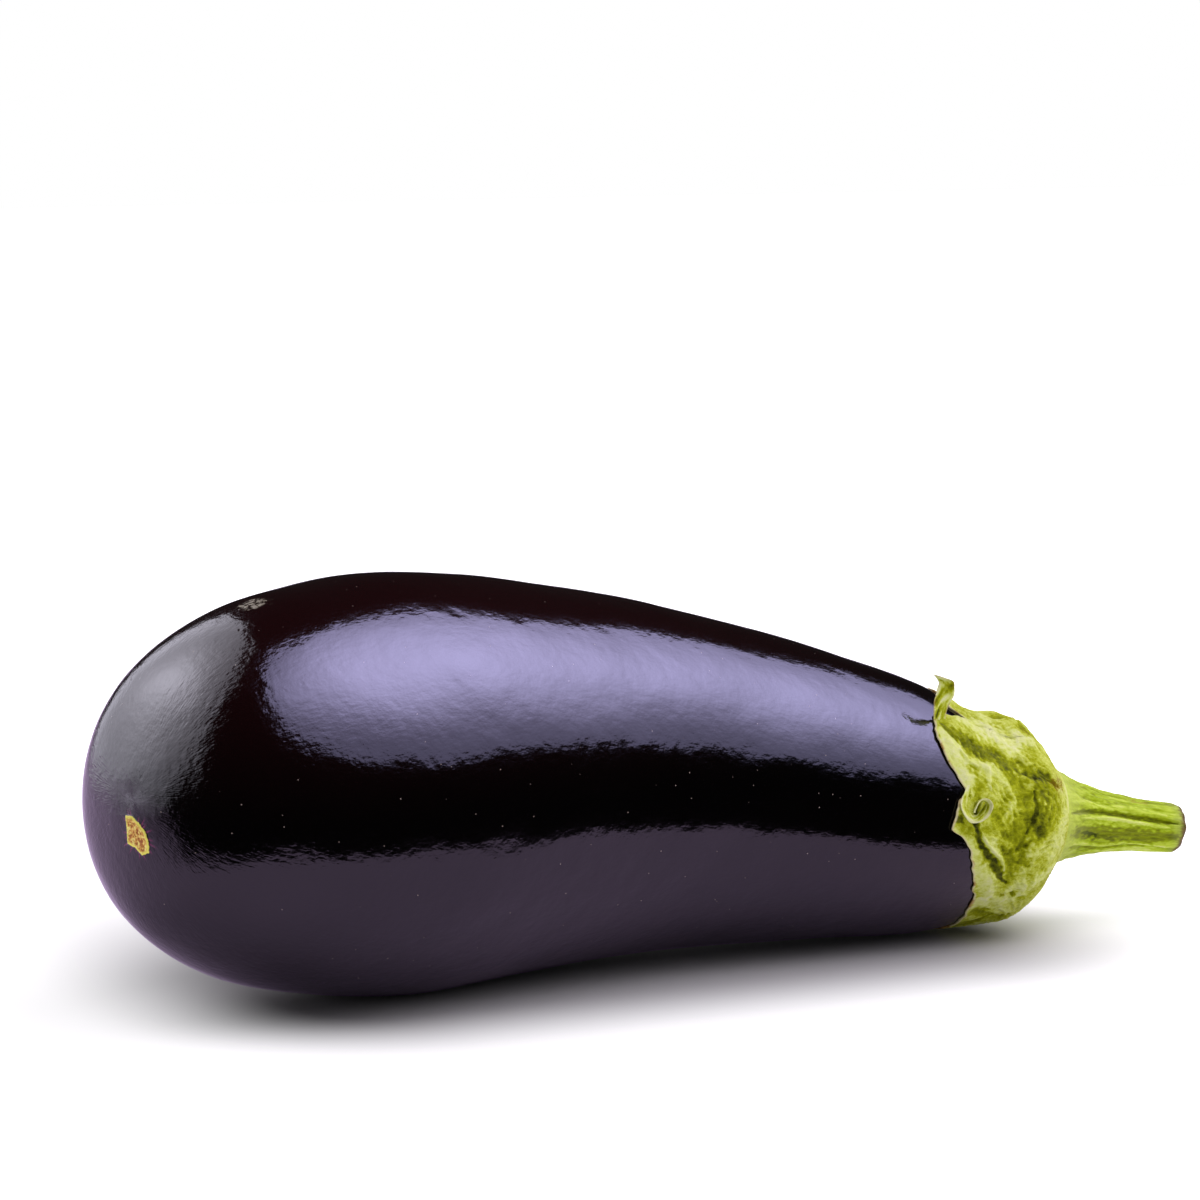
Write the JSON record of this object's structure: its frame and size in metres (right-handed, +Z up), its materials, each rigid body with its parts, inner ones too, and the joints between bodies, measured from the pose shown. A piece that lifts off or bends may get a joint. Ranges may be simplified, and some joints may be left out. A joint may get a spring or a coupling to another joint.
{
  "type": "eggplant",
  "caption": "Whole eggplant lying on its side: glossy dark purple fruit with a green lobed calyx and a short ribbed stem.",
  "frame": {"origin": "on the floor, under the middle of the bounding box", "axes": "+X from the blossom end to the stem along the length, +Z up, -Y towards the viewer"},
  "size_m": [0.2566, 0.0906, 0.086],
  "materials": {
    "skin": "glossy dark purple skin, waxy and smooth",
    "calyx": "matt yellow-green leaf tissue with folds",
    "stem": "satin green, grooved lengthways, brown at the cut"
  },
  "bodies": {
    "root": {"fruit": "skin", "calyx": "calyx", "stem": "stem"}
  },
  "joints": []
}
